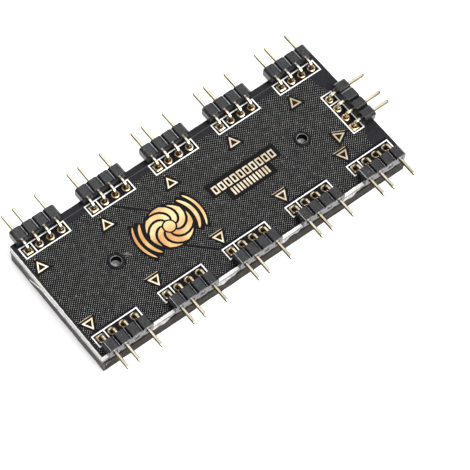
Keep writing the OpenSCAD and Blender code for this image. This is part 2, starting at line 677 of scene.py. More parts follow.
@dataclass(frozen=True)
class FilmFinish(Finish):
    """Pale adhesive film with grey mottling and dirt.

    It can carry painted shade at its outer edges, be darker along the near edge, or be darker on the floor of
    the holes.
    """

    pale: Colour
    dull: Colour
    dark: Colour
    dirt: float = 0.7
    edge_shade: float = 0.8
    near_darkening: float = 0.0
    well: float = 0.0
    well_radius: float = 1.5492
    edge_shade_colour: Colour = tint(52, 49, 46)
    floor: Colour = tint(172, 170, 164)
    floor_dark: Colour = tint(84, 82, 78)

    def mix(self, paint: Paint) -> bpy.types.Material:
        """Builds the shader.

        Args:
            paint: an empty node tree.

        Returns:
            The material.
        """
        fine = paint.noise(4.5, 3.0)
        colour = paint.mottle(paint.noise(1.3, 4.0), (0.42, 0.6), self.pale, self.dull)
        colour = paint.blend(paint.ease(fine, 0.56, 0.72) * self.dirt, colour, self.dark)
        # Painted shade: the film's outer edges are painted dark.
        outer = (abs(paint.x) > PLAN.half_x - 0.2) | (abs(paint.y) > PLAN.half_y - 0.2)
        colour = paint.blend(outer * self.edge_shade, colour, self.edge_shade_colour)
        colour = paint.blend((paint.y < 0.1 - PLAN.half_y) * self.near_darkening, colour, self.dark)
        floor = paint.mottle(paint.noise(2.6, 3.0), (0.4, 0.62), self.floor, self.floor_dark)
        return paint.finish(
            base_color=paint.blend(paint.near_hole(self.well_radius) * self.well, colour, floor),
            roughness=fine * 0.25 + 0.35,
            normal=paint.bump(fine, 0.05, 0.6),
        )


@dataclass(frozen=True)
class FoamFinish(Finish):
    """Dark fine-celled foam, with paler cut cells, a dusty left side and a nick in its near face."""

    dark: Colour = tint(28, 25, 22)
    body: Colour = tint(56, 51, 47)
    cut: Colour = tint(84, 78, 72)
    dust: Colour = tint(112, 108, 106)
    nicked: Colour = tint(196, 192, 188)
    nicks: tuple[tuple[Point, Point], ...] = (((-35.8, 2.6), (0.07, 0.4)), ((-35.4, 3.02), (0.42, 0.07)))

    def mix(self, paint: Paint) -> bpy.types.Material:
        """Builds the shader.

        Args:
            paint: an empty node tree.

        Returns:
            The material.
        """
        height = paint.cells(4.2) * 0.6 + paint.cells(9.0) * 0.4
        cloud = paint.noise(0.7, 3.0)
        colour = paint.mottle(height, (0.18, 0.55), self.dark, self.body)
        colour = paint.blend(paint.ease(cloud, 0.45, 0.75) * 0.5, colour, self.cut)
        colour = paint.blend((paint.x < 0.4 - PLAN.half_x) * (0.25 + cloud * 0.5), colour, self.dust)
        nick = paint.any_of(*(paint.inside(paint.x, paint.z, *nick) for nick in self.nicks))
        nick = nick & (paint.y < -PLAN.half_y - 0.2)
        return paint.finish(
            base_color=paint.blend(nick * 0.8, colour, self.nicked),
            roughness=0.92,
            specular_ior_level=0.15,
            normal=paint.bump(height, 0.12, 0.7),
        )


@dataclass(frozen=True)
class CoatFinish(Finish):
    """A plain coat such as the glossy black rim of a hole or the brown inside of a mark."""

    base: Colour
    spot: Colour
    roughness: float
    level: float

    def mix(self, paint: Paint) -> bpy.types.Material:
        """Builds the shader.

        Args:
            paint: an empty node tree.

        Returns:
            The material.
        """
        fine = paint.noise(5.0, 3.0)
        return paint.finish(
            base_color=paint.mottle(fine, (0.35, 0.7), self.base, self.spot),
            roughness=fine * 0.15 + self.roughness,
            specular_ior_level=self.level,
            normal=paint.bump(fine, 0.01, 0.3),
        )


MASK = MaskFinish("mask_and_glass_fibre", "board")
PRINT = PrintFinish("white_print", "board")
PLASTIC = PlasticFinish("header_plastic", "header_plastic")
SOLDER = SolderFinish("solder", "solder")
FOAM = FoamFinish("foam", "foam")
EMBLEM_GOLD = GoldFinish(
    "emblem_gold", "board", tint(244, 214, 162), tint(196, 146, 92), roughness=0.36, drift=0.16
)
MARK_GOLD = GoldFinish(
    "mark_gold", "board", tint(252, 242, 222), tint(226, 204, 168), roughness=0.34, drift=0.5, fading=0.6
)
PAD_GOLD = GoldFinish(
    "pad_gold", "board", tint(240, 226, 200), tint(184, 150, 106), roughness=0.16, drift=0.9, near_reflection=0.75
)
PAD_SOLDER = GoldFinish(
    "pad_solder", "board", tint(150, 116, 76), tint(58, 42, 24), roughness=0.14, drift=1.1,
    spread=0.1, relief=0.5,
)
PIN_GOLD = GoldFinish(
    "pin_gold", "pin_gold", tint(232, 224, 204), tint(206, 195, 168), roughness=0.14, drift=0.3,
    grain=6.0, spread=0.06, relief=0.04, stain=0.1, bend_reflection=True,
)
PIN_SIDE_SHADE = GoldFinish(
    "pin_side", "pin_gold", tint(98, 90, 62), tint(66, 56, 34), roughness=0.22, drift=0.3,
    grain=6.0, spread=0.1, relief=0.04, stain=0.3,
)
PIN_CUT = CoatFinish("pin_cut", "pin_gold", tint(30, 24, 18), tint(66, 50, 34), 0.5, 0.4)
RECESS = CoatFinish("mark_recess", "board", tint(26, 16, 6), tint(46, 31, 13), 0.5, 0.05)
EDGE_HIGHLIGHT = CoatFinish("moulding_edge_highlight", "header_plastic", tint(210, 212, 220), tint(96, 98, 104), 0.3, 0.5)
GROOVE_SHADE = CoatFinish("moulding_groove_shade", "header_plastic", tint(2, 2, 3), tint(9, 9, 11), 0.5, 0.1)
RIM = CoatFinish("hole_rim", "board", tint(4, 4, 5), tint(12, 12, 14), 0.22, 0.2)
WELL_SHADE = CoatFinish("hole_wall_shade", "board", tint(5, 5, 6), tint(16, 15, 16), 0.6, 0.1)
LIP_HIGHLIGHT = CoatFinish("hole_lip_highlight", "board", tint(186, 186, 198), tint(92, 92, 102), 0.12, 0.6)
GLINT = CoatFinish("pour_edge_highlight", "board", tint(190, 172, 138), tint(140, 122, 92), 0.35, 0.5)
FILM = FilmFinish("layer_film", "film", tint(248, 247, 243), tint(112, 110, 107), tint(58, 55, 53), well=0.9)
SKIN = FilmFinish(
    "film_skin", "film", tint(240, 240, 238), tint(186, 183, 182), tint(120, 116, 114),
    dirt=0.35, edge_shade=0.0, near_darkening=0.6,
)


def verts_of(result: dict[str, list]) -> list[Vert]:
    """Picks the vertices out of an operator's result."""
    return [item for item in result["geom"] if isinstance(item, Vert)]


def added(mesh: Mesh, old: set[Vert]) -> list[Vert]:
    """Gives the vertices that a mesh has gained."""
    return [vert for vert in mesh.verts if vert not in old]


def flat_face(mesh: Mesh, outline: Iterable[Point], level: float = 0.0) -> Face:
    """Adds a flat face.

    Args:
        mesh: the mesh to add to.
        outline: its corners in order.
        level: its height.

    Returns:
        The face.
    """
    face = mesh.faces.new([mesh.verts.new((x, y, level)) for x, y in outline])
    face.normal_update()
    return face


def rectangle(centre: Point, half: Point) -> list[Point]:
    """Gives a rectangle's corners from its middle and half of its sides."""
    (x, y), (a, b) = centre, half
    return [(x - a, y - b), (x + a, y - b), (x + a, y + b), (x - a, y + b)]


def thicken(mesh: Mesh, faces: list[Face], height: float) -> None:
    """Extrudes loose flat faces into closed plates of that height."""
    risen = verts_of(bmesh.ops.extrude_face_region(mesh, geom=faces))
    bmesh.ops.translate(mesh, vec=(0, 0, height), verts=risen)


def plate(mesh: Mesh, outline: Iterable[Point], low: float, high: float) -> None:
    """Adds a closed flat plate with its underside at low and its top at high."""
    thicken(mesh, [flat_face(mesh, outline, low)], high - low)


def frame_plate(mesh: Mesh, outline: Iterable[Point], stroke: float, low: float, high: float) -> None:
    """Adds a closed flat frame that follows an outline on its inside.

    Args:
        mesh: the mesh to add to.
        outline: its outer corners in order.
        stroke: the width of the frame.
        low: the height of its underside.
        high: the height of its top.
    """
    middle = flat_face(mesh, outline, low)
    band = bmesh.ops.inset_region(
        mesh, faces=[middle], thickness=stroke, use_boundary=True, use_even_offset=True
    )
    ring = list(band["faces"])
    bmesh.ops.delete(mesh, geom=[middle], context="FACES_ONLY")
    thicken(mesh, ring, high - low)


def turned(mesh: Mesh, profile: Sequence[Point], centre: Vector, steps: int) -> list[Vert]:
    """Adds a closed ring by turning a profile about a vertical line.

    Args:
        mesh: the mesh to add to.
        profile: distances from the line and heights, in order round the section.
        centre: a point on the line.
        steps: how many faces go round.

    Returns:
        The ring's vertices.
    """
    old = set(mesh.verts)
    verts = [mesh.verts.new((centre.x + r, centre.y, centre.z + h)) for r, h in profile]
    edges = [mesh.edges.new((a, b)) for a, b in zip(verts, verts[1:] + verts[:1])]
    bmesh.ops.spin(
        mesh, geom=verts + edges, cent=centre, axis=(0, 0, 1), angle=2 * math.pi, steps=steps, use_merge=True
    )
    return added(mesh, old)


def round_edges(mesh: Mesh, least: float, radius: float, convex: bool = False) -> None:
    """Rounds a mesh's sharp edges.

    Args:
        mesh: the mesh.
        least: the angle in radians above which an edge is rounded.
        radius: how much is taken off.
        convex: whether inner edges are left sharp.
    """
    bmesh.ops.recalc_face_normals(mesh, faces=mesh.faces)
    edges = [e for e in mesh.edges if e.calc_face_angle(0) > least and (e.is_convex or not convex)]
    bmesh.ops.bevel(
        mesh, geom=edges, offset=radius, affect="EDGES", segments=2, profile=0.5, material=-1,
        clamp_overlap=True,
    )


def settle(
    mesh: Mesh,
    name: str,
    finish: Finish,
    replaces: Sequence[str] = (),
    smooth: float | None = None,
    others: Sequence[Finish] = (),
) -> Item:
    """Turns a mesh in millimetres into a piece that rides with the hub.

    Args:
        mesh: the mesh, which is freed.
        name: the piece's name.
        finish: its finish.
        replaces: the CAD nodes that it stands for.
        smooth: the angle in degrees up to which edges are shaded smooth.
        others: the finishes of the faces with material index 1, 2 and so on.

    Returns:
        The piece.
    """
    bmesh.ops.recalc_face_normals(mesh, faces=mesh.faces)
    bmesh.ops.scale(mesh, vec=(MM,) * 3, verts=mesh.verts)
    data = bpy.data.meshes.new(name)
    mesh.to_mesh(data)
    mesh.free()
    for each in (finish, *others):
        data.materials.append(each.material())
    if smooth is not None:
        data.polygons.foreach_set("use_smooth", [True] * len(data.polygons))
        data.set_sharp_from_angle(angle=math.radians(smooth))
    piece = bpy.data.objects.new(name, data)
    bpy.context.scene.collection.objects.link(piece)
    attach(piece, BODY)
    if replaces:
        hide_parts(*replaces)
    LOG.info("%s: %d faces, %s", name, len(data.polygons), finish.name)
    return piece


def dress(node: Item, finish: Finish) -> None:
    """Gives a CAD node its finish.

    Args:
        node: the node's object.
        finish: the finish for all of its slots.
    """
    if not node.material_slots:
        node.data.materials.append(finish.material())
    for slot in node.material_slots:
        slot.material = finish.material()
    LOG.info("%s: CAD node, %s", node.name, finish.name)


class Row(Enum):
    """A row of headers: its turn about Z in degrees and the side of its first pin."""

    FAR = (0.0, -1)
    NEAR = (180.0, 1)
    INPUT = (-90.0, 1)


@dataclass(frozen=True)
class Seat:
    """The place of one header, whose own +Y runs along its outer pins."""

    name: str
    row: Row
    x: float
    y: float
    top: float
    pitch: float = 2.54
    count: int = 4
    half_pin: float = 0.32

    @classmethod
    def read(cls, name: str, top: float) -> "Seat":
        """Finds a header's place from its CAD pins.

        Args:
            name: the header's name.
            top: the height of the board's face.

        Returns:
            The seat.
        """
        low, high = box_of(f"{name}_pins")
        middle = (low + high) / 2
        if name == "input":
            return cls(name, Row.INPUT, low.x + cls.half_pin, middle.y, top)
        if middle.y > 0:
            return cls(name, Row.FAR, middle.x, low.y + cls.half_pin, top)
        return cls(name, Row.NEAR, middle.x, high.y - cls.half_pin, top)

    @property
    def matrix(self) -> Matrix:
        """Gives the move from the header's own place to the hub's frame."""
        turn = Matrix.Rotation(math.radians(self.row.value[0]), 4, "Z")
        return Matrix.Translation((self.x, self.y, self.top)) @ turn

    def pins(self) -> list[float]:
        """Gives each pin's place along the header, from the first pin on."""
        steps = [(self.count + 1) / 2 - number for number in range(1, self.count + 1)]
        return [self.row.value[1] * step * self.pitch for step in steps]

    def grooves(self) -> list[float]:
        """Gives the place of each groove between two blocks, from the left."""
        return [(i - self.count / 2) * self.pitch for i in range(1, self.count)]

    def on_board(self, across: float) -> Vector:
        """Gives the point of the board's face at a place along the header."""
        return self.matrix @ Vector((across, 0.0, 0.0))


@dataclass
class Header:
    """A right-angle header: a body of joined octagonal blocks, and its bent pins."""

    seat: Seat
    setback: float = 1.7
    depth: float = 2.6
    height: float = 2.54
    chamfer: float = 0.4
    rounding: float = 0.045
    pin_collar: float = 0.78
    collar_wall: float = 0.03
    collar_depth: float = 0.07
    reach: float = 8.6
    snipped: int = 3
    snipped_reach: float = 4.28
    bend: float = 0.75
    tail: float = 2.9
    taper: float = 0.12
    taper_scale: float = 0.72
    tip: float = 0.42
    tip_steps: tuple[Point, ...] = ((0.7, 0.78), (0.3, 0.62))  # shares of the tip, and how much each narrows
    bend_steps: int = 6
    pin_rounding: float = 0.13
    side_shade_tilt: float = 0.35
    highlight_width: float = 0.075
    near_highlight_width: float = 0.035
    highlight_shift: float = 0.04

    def outline(self) -> list[Point]:
        """Gives the body's outline, seen along the pins.

        Returns:
            Its corners in order.
        """
        pitch, blocks = self.seat.pitch, self.seat.count
        half, flat = pitch / 2, pitch / 2 - self.chamfer
        middles = [(i - (blocks - 1) / 2) * pitch for i in range(blocks)]
        lower = [(middles[0] - half, self.chamfer)]
        for middle in middles:
            lower += [(middle - flat, 0.0), (middle + flat, 0.0), (middle + half, self.chamfer)]
        return lower + [(x, self.height - z) for x, z in reversed(lower)]

    def build_body(self) -> None:
        """Makes the plastic body, with a shallow collar round each pin on both faces."""
        mesh = bmesh.new()
        thicken(mesh, [flat_face(mesh, self.outline())], self.depth)
        front = Matrix.Translation((0, self.setback + self.depth, 0))
        upright = front @ Matrix.Rotation(math.radians(90), 4, "X")
        bmesh.ops.transform(mesh, matrix=upright, verts=mesh.verts)
        round_edges(mesh, 0.5, self.rounding, convex=True)
        for groove in self.seat.grooves():
            geom = mesh.verts[:] + mesh.edges[:] + mesh.faces[:]
            bmesh.ops.bisect_plane(mesh, geom=geom, plane_co=(groove, 0, 0), plane_no=(1, 0, 0), dist=1e-5)
        # The front and rear face of each block, and none of the slivers beside them
        ends = [f for f in mesh.faces if abs(f.normal.y) > 0.99 and f.calc_area() > 2]
        bmesh.ops.inset_individual(mesh, faces=ends, thickness=self.pin_collar, depth=0)
        bmesh.ops.inset_individual(mesh, faces=ends, thickness=self.collar_wall, depth=-self.collar_depth)
        self.add_groove_highlights(mesh)
        bmesh.ops.transform(mesh, matrix=self.seat.matrix, verts=mesh.verts)
        self.mark_faces(mesh)
        name = self.seat.name
        settle(mesh, f"{name}_body", PLASTIC, [f"{name}_header"], others=[EDGE_HIGHLIGHT, GROOVE_SHADE])

    def add_groove_highlights(self, mesh: Mesh) -> None:
        """Adds thin pale strips along the bottoms of the grooves on the top, as painted highlights.

        The input header has one line, in the first of its grooves.

        Args:
            mesh: the body, in the header's own place.
        """
        old = set(mesh.faces)
        row = self.seat.row
        middle, half = self.setback + self.depth / 2, self.depth / 2 - 0.04
        low = self.height - self.chamfer
        width = self.near_highlight_width if row is Row.NEAR else self.highlight_width
        for groove in self.seat.grooves()[:1 if row is Row.INPUT else None]:
            spot = (groove + row.value[1] * self.highlight_shift, middle)
            plate(mesh, rectangle(spot, (width / 2, half)), low - 0.05, low + 0.2)
        # Painted highlight: the strips get the pale edge finish.
        for face in mesh.faces:
            if face not in old:
                face.material_index = 1

    def mark_faces(self, mesh: Mesh) -> None:
        """Marks upper flanks of grooves that face left or near with painted shade, and a near body's outer
        rim with a painted highlight.

        Args:
            mesh: the body, in the hub's frame.
        """
        inner = (self.seat.count / 2 - 0.6) * self.seat.pitch
        back = self.seat.matrix.inverted()
        for face in mesh.faces:
            face.normal_update()
            normal, beside = face.normal, abs((back @ face.calc_center_median()).x)
            flank = normal.z > 0.3 and min(normal.x, normal.y) < -0.4
            # Painted shade: these flanks get the nearly black groove finish.
            if flank and beside < inner and face.material_index == 0 and face.calc_area() > 0.2:
                face.material_index = 2
            # The rounded edge between a body's top and the chamfer at its left-hand end, which gets a painted
            # highlight
            rim = 0.72 < normal.z < 0.99 and normal.x < -0.1 and abs(normal.y) < 0.1
            if rim and self.seat.row is Row.NEAR and beside > inner and face.material_index == 0:
                face.material_index = 1

    def add_pin(self, mesh: Mesh, across: float, snipped: bool) -> None:
        """Adds one bent square pin.

        Args:
            mesh: the mesh to add to, in the header's own place.
            across: the pin's place along the header.
            snipped: whether it is cut off just past the body.
        """
        axis = self.height / 2
        old = set(mesh.verts)
        foot = Matrix.Translation((across, 0, -self.tail)) @ Matrix.Scale(-1, 4, (0, 0, 1))
        start = bmesh.ops.create_grid(
            mesh, x_segments=1, y_segments=1, size=self.seat.half_pin, matrix=foot
        )["verts"]
        cap = self.push(mesh, start[0].link_faces[0], (0, 0, self.taper))
        lowest = [v for v in added(mesh, old) if v.co.z < -self.tail + 0.01]
        middle = Matrix.Translation((-across, 0, 0))
        bmesh.ops.scale(mesh, vec=(self.taper_scale, self.taper_scale, 1), space=middle, verts=lowest)
        cap = self.push(mesh, cap, (0, 0, self.tail - self.taper + axis - self.bend))
        bent = bmesh.ops.spin(
            mesh, geom=[cap], cent=(across, self.bend, axis - self.bend), axis=(1, 0, 0),
            angle=-math.pi / 2, steps=self.bend_steps,
        )
        cap = next(g for g in bent["geom_last"] if isinstance(g, Face))
        if snipped:
            self.push(mesh, cap, (0, self.snipped_reach - self.bend, 0)).material_index = 1
            return
        cap = self.push(mesh, cap, (0, self.reach - self.tip - self.bend, 0))
        for share, scale in self.tip_steps:
            cap = self.push(mesh, cap, (0, self.tip * share, 0), (scale, 1, scale))

    @staticmethod
    def push(mesh: Mesh, face: Face, move: Triple, scale: Triple | None = None) -> Face:
        """Extrudes a face.

        Args:
            mesh: the mesh that holds it.
            face: the face.
            move: how far it goes.
            scale: how it is scaled about its middle, if at all.

        Returns:
            The face at the new end.
        """
        result = bmesh.ops.extrude_face_region(mesh, geom=[face])
        new = verts_of(result)
        bmesh.ops.translate(mesh, vec=move, verts=new)
        end = next(f for f in result["geom"] if isinstance(f, Face))
        if scale is not None:
            middle = Matrix.Translation(-end.calc_center_median())
            bmesh.ops.scale(mesh, vec=scale, space=middle, verts=new)
        return end

    def build_pins(self) -> None:
        """Makes the header's pins, one of them snipped and all with duller, darker sides, which are painted
        shade.
        """
        mesh = bmesh.new()
        for number, across in enumerate(self.seat.pins(), 1):
            self.add_pin(mesh, across, number == self.snipped)
        round_edges(mesh, 1.2, self.pin_rounding)
        start = self.setback if self.seat.row is Row.INPUT else -self.setback
        for face in mesh.faces:
            face.normal_update()
            # Painted shade: side faces get the darker side finish.
            side = abs(face.normal.x) > self.side_shade_tilt and face.calc_center_median().y > start
            if side and face.material_index == 0:
                face.material_index = 2
        bmesh.ops.transform(mesh, matrix=self.seat.matrix, verts=mesh.verts)
        name = self.seat.name
        settle(mesh, f"{name}_pin_row", PIN_GOLD, [f"{name}_pins"], others=[PIN_CUT, PIN_SIDE_SHADE])

    def build(self) -> None:
        """Makes the whole header."""
        self.build_body()
        self.build_pins()


@dataclass
class Pads:
    """Gold pads round a header's holes, each with a low domed ring; the first one is square."""

    seat: Seat
    outer: float = 0.87
    square: float = 0.85
    wall: float = 0.512
    bore: float = 0.496
    depth: float = 0.30
    rise: float = 0.14
    lap: float = 0.02
    steps: int = 20

    def build(self) -> None:
        """Makes the four pads as one piece."""
        mesh = bmesh.new()
        crest = (self.bore + self.outer) / 2
        section = [
            (self.bore, -self.depth), (self.bore, self.rise * 0.2), (self.bore + 0.05, self.rise * 0.7),
            (crest - 0.04, self.rise), (crest + 0.06, self.rise * 0.92),
            (self.outer - 0.05, self.rise * 0.45), (self.outer, 0.0), (self.outer, -self.lap),
            (self.wall, -self.lap), (self.wall, -self.depth),
        ]
        middles = [self.seat.on_board(across) for across in self.seat.pins()]
        for number, middle in enumerate(middles):
            ring = turned(mesh, section, middle, self.steps)
            self.sag(ring, middle)
            if number == 0:
                self.square_off(ring, middle)
        for face in mesh.faces:
            spot = face.calc_center_median()
            reach = min(math.hypot(spot.x - m.x, spot.y - m.y) for m in middles)
            face.material_index = int(reach < self.bore + 0.06)
        settle(mesh, f"{self.seat.name}_pads", PAD_GOLD, smooth=40, others=[PAD_SOLDER])

    @staticmethod
    def sag(ring: Iterable[Vert], centre: Vector) -> None:
        """Makes the ring's height uneven.

        Args:
            ring: its vertices.
            centre: its middle, on the board's face.
        """
        for vert in ring:
            height = vert.co.z - centre.z
            if height > 0:
                vert.co.z -= height * 0.6 * (noise.noise(vert.co * 1.3) * 0.5 + 0.5)

    def square_off(self, ring: Iterable[Vert], centre: Vector) -> None:
        """Pushes a round pad's rim out to a square.

        Args:
            ring: its vertices.
            centre: its middle, on the board's face.
        """
        for vert in ring:
            flat = vert.co.xy - centre.xy
            if flat.length > self.outer - 0.1:
                reach = self.square - (self.outer - flat.length)
                flat *= reach / max(abs(flat.x), abs(flat.y))
                vert.co.xy = centre.xy + flat


@dataclass
class Legend:
    """White printed boxes round the pads, each with a divider after its first pad."""

    seats: Sequence[Seat]
    top: float
    length: float = 10.16
    width: float = 2.54
    stroke: float = 0.25
    rise: float = 0.025
    divider_drop: float = 0.002
    shifts: dict[Row, Point] = field(
        default_factory=lambda: {Row.FAR: (0.01, -0.05), Row.NEAR: (0.01, -0.05), Row.INPUT: (0.19, 0.03)}
    )

    def build(self) -> None:
        """Makes all of the boxes as one piece."""
        mesh = bmesh.new()
        low, high = self.top - SINK, self.top + self.rise
        long, short = (self.length + self.stroke) / 2, (self.width + self.stroke) / 2
        step, bar, inner = self.length / 2 - self.width, self.stroke / 2, short - self.stroke * 0.5
        for seat in self.seats:
            dx, dy = self.shifts[seat.row]
            x, y = seat.x + dx, seat.y + dy
            if seat.row is Row.INPUT:
                box, divider = (short, long), rectangle((x, y + step), (inner, bar))
            else:
                box, divider = (long, short), rectangle((x - step, y), (bar, inner))
            frame_plate(mesh, rectangle((x, y), box), self.stroke, low, high)
            plate(mesh, divider, low, high - self.divider_drop)
        settle(mesh, "printed_boxes", PRINT)


@dataclass
class PinOneMarks:
    """Gold outline triangles at each header's first pin, with a painted highlight for the lit edge of the
    opening beyond.
    """

    seats: Sequence[Seat]
    top: float
    width: float = 2.45
    height: float = 2.25
    stroke: float = 0.29
    shrink: float = 0.25
    rise: float = 0.03
    recess_rise: float = 0.008

    @staticmethod
    def matrix(seat: Seat) -> Matrix:
        """Gives a mark's place.

        Args:
            seat: the mark's header.

        Returns:
            The move of a mark whose base is centred on its origin and whose tip is along its +Y.
        """
        if seat.row is Row.INPUT:
            return Matrix.Translation((*PLAN.input_mark, 0)) @ Matrix.Rotation(-math.pi / 2, 4, "Z")
        far = seat.row is Row.FAR
        x, y = PLAN.far_mark if far else PLAN.near_mark
        return Matrix.Translation((seat.x + x, y, 0)) @ Matrix.Rotation(0.0 if far else math.pi, 4, "Z")

    def outline(self, shrink: float = 0.0) -> list[Point]:
        """Gives the triangle's corners.

        Args:
            shrink: how far they are moved in, as a share of its size.

        Returns:
            The corners in order.
        """
        half, keep = self.width / 2, 1 - shrink
        middle = self.height / 3
        corners = [(-half, 0.0), (half, 0.0), (0.0, self.height)]
        return [(x * keep, middle + (y - middle) * keep) for x, y in corners]

    def build(self) -> None:
        """Makes the marks, their brown insides and the thin painted highlights of the lit edges."""
        gold, recess, glint = bmesh.new(), bmesh.new(), bmesh.new()
        low, high = self.top - SINK, self.top + self.rise
        slope = Matrix.Translation((-0.95, 1.35, 0)) @ Matrix.Rotation(math.radians(63), 4, "Z")
        lit = {
            Row.FAR: (Matrix(), rectangle((0, 2.75), (0.1, 0.1))),
            Row.NEAR: (Matrix(), rectangle((0, -0.47), (1.45, 0.06))),
            Row.INPUT: (slope, rectangle((0, 0), (1.35, 0.06))),
        }
        for seat in self.seats:
            place = self.matrix(seat)
            turn, edge = lit[seat.row]
            self.add(gold, place, lambda m: frame_plate(m, self.outline(), self.stroke, low, high))
            inner = self.outline(self.shrink)
            self.add(recess, place, lambda m: plate(m, inner, low, self.top + self.recess_rise))
            self.add(glint, place @ turn, lambda m: plate(m, edge, low, high))
        settle(gold, "first_pin_marks", MARK_GOLD)
        settle(recess, "first_pin_mark_insides", RECESS)
        settle(glint, "pour_opening_edge_highlights", GLINT)

    @staticmethod
    def add(mesh: Mesh, place: Matrix, build: Callable[[Mesh], None]) -> None:
        """Runs a building step and moves what it added.

        Args:
            mesh: the mesh to add to.
            place: the move.
            build: the step, which is given the mesh.
        """
        old = set(mesh.verts)
        build(mesh)
        bmesh.ops.transform(mesh, matrix=place, verts=added(mesh, old))


@dataclass
class Emblem:
    """A plain gold fan rotor between pairs of arcs."""

    top: float
    blades: int = 7
    hub: float = 1.15
    root: float = 1.5
    rim: float = 4.55
    blade_share: float = 0.66
    sweep: float = 0.30
    curl: float = 0.05
    rise: float = 0.035
    arcs: tuple[Triple, ...] = ((5.75, 0.75, 40.0), (7.1, 0.55, 34.0))

    @staticmethod
    def sector(mesh: Mesh, start: float, angle: float, inner: float, outer: float, steps: int) -> list[Vert]:
        """Adds a flat band of a ring.

        Args:
            mesh: the mesh to add to.
            start: the angle of its first side.
            angle: how far it turns.
            inner: its inner radius.
            outer: its outer radius.
            steps: how many faces go round.

        Returns:
            Its vertices.
        """
        old = set(mesh.verts)
        turn = Matrix.Rotation(start, 3, "Z")
        rows = 7
        spots = [turn @ Vector((inner + (outer - inner) * i / rows, 0, 0)) for i in range(rows + 1)]
        verts = [mesh.verts.new(s) for s in spots]
        edges = [mesh.edges.new(pair) for pair in zip(verts, verts[1:])]
        bmesh.ops.spin(mesh, geom=verts + edges, cent=(0, 0, 0), axis=(0, 0, 1), angle=angle, steps=steps)
        return added(mesh, old)

    def add_blade(self, mesh: Mesh, start: float, angle: float) -> None:
        """Adds one swept blade.

        Args:
            mesh: the mesh to add to.
            start: the angle of its trailing side.
            angle: its width.
        """
        for vert in self.sector(mesh, start, angle, self.root, self.rim, 8):
            out = vert.co.length - self.root
            vert.co = Matrix.Rotation(self.sweep * out + self.curl * out ** 2, 3, "Z") @ vert.co

    def add_arc(self, mesh: Mesh, mirrored: bool, radius: float, width: float, spread: float) -> None:
        """Adds one arc that narrows towards its ends.

        Args:
            mesh: the mesh to add to.
            mirrored: whether it lies on the left.
            radius: its middle radius.
            width: its width at the middle.
            spread: half of its angle in degrees.
        """
        half, start = math.radians(spread), math.pi if mirrored else 0
        arc = self.sector(mesh, start - half, 2 * half, radius - width / 2, radius + width / 2, 20)
        for vert in arc:
            angle = math.atan2(vert.co.y, -vert.co.x if mirrored else vert.co.x)
            keep = math.sqrt(max(0.0, 1 - (angle / half) ** 2)) * 0.9 + 0.1
            vert.co *= (radius + (vert.co.length - radius) * keep) / vert.co.length

    def build(self) -> None:
        """Makes the emblem as one piece."""
        mesh = bmesh.new()
        step = 2 * math.pi / self.blades
        for i in range(self.blades):
            self.add_blade(mesh, i * step, step * self.blade_share)
        for arc in self.arcs:
            self.add_arc(mesh, False, *arc)
            self.add_arc(mesh, True, *arc)
        bmesh.ops.create_circle(mesh, cap_ends=True, segments=32, radius=self.hub)
        bmesh.ops.translate(mesh, vec=(*PLAN.emblem, self.top - SINK), verts=mesh.verts)
        thicken(mesh, mesh.faces[:], self.rise + SINK)
        settle(mesh, "rotor_emblem", EMBLEM_GOLD)


@dataclass
class BarRows:
    """Two rows of small gold bars: open boxes above, and pairs of solid bars below."""

    top: float
    rise: float = 0.03
    stroke: float = 0.32
    pitch: float = 1.52
    boxes: int = 10
    first_box: Point = (1.95, 0.98)
    half_box: Point = (0.58, 0.9)
    pairs: int = 6
    first_pair: Point = (4.95, -1.28)
    beside: float = 0.36
    half_bar: Point = (0.2, 0.86)

    def build(self) -> None:
        """Makes both rows as one piece."""
        mesh = bmesh.new()
        low, high = self.top - SINK, self.top + self.rise
        for i in range(self.boxes):
            centre = (self.first_box[0] + self.pitch * i, self.first_box[1])
            frame_plate(mesh, rectangle(centre, self.half_box), self.stroke, low, high)
        for i in range(self.pairs):
            for offset in (-self.beside, self.beside):
                centre = (self.first_pair[0] + self.pitch * i + offset, self.first_pair[1])
                plate(mesh, rectangle(centre, self.half_bar), low, high)
        settle(mesh, "bar_rows", MARK_GOLD)


@dataclass
class HoleRims:
    """Glossy black sleeves with a raised rim in the two mounting holes, with painted shade on the inner walls
    and painted highlights on the lips.
    """

    top: float
    bore: float = 1.08
    outer: float = 1.60
    depth: float = 1.58
    rise: float = 0.12
    wall: float = 0.015
    steps: int = 64

    def build(self) -> None:
        """Makes both rims as one piece."""
        mesh = bmesh.new()
        bore, outer, rise = self.bore, self.outer, self.rise
        section = [
            (bore, -self.depth), (bore, rise * 0.6), (bore + 0.025, rise * 0.9), (bore + 0.055, rise),
            (bore + 0.10, rise * 0.35), (outer - 0.20, rise * 0.2), (outer - 0.12, rise * 0.6),
            (outer - 0.06, rise * 0.5), (outer, 0.0), (outer, -SINK), (bore + self.wall, -SINK),
            (bore + self.wall, -self.depth),
        ]
        for x in (-PLAN.hole_x, PLAN.hole_x):
            turned(mesh, section, Vector((x, 0, self.top)), self.steps)
        for face in mesh.faces:
            spot = face.calc_center_median()
            reach = math.hypot(abs(spot.x) - PLAN.hole_x, spot.y)
            # Painted shade: the inner wall is painted nearly black.
            if spot.z < self.top + rise * 0.3 and reach < bore + 0.02:
                face.material_index = 2
            # Painted highlight: the lip of the bore is painted pale grey.
            elif reach < bore + 0.06:
                face.material_index = 1
        settle(mesh, "hole_rims", RIM, smooth=50, others=[LIP_HIGHLIGHT, WELL_SHADE])


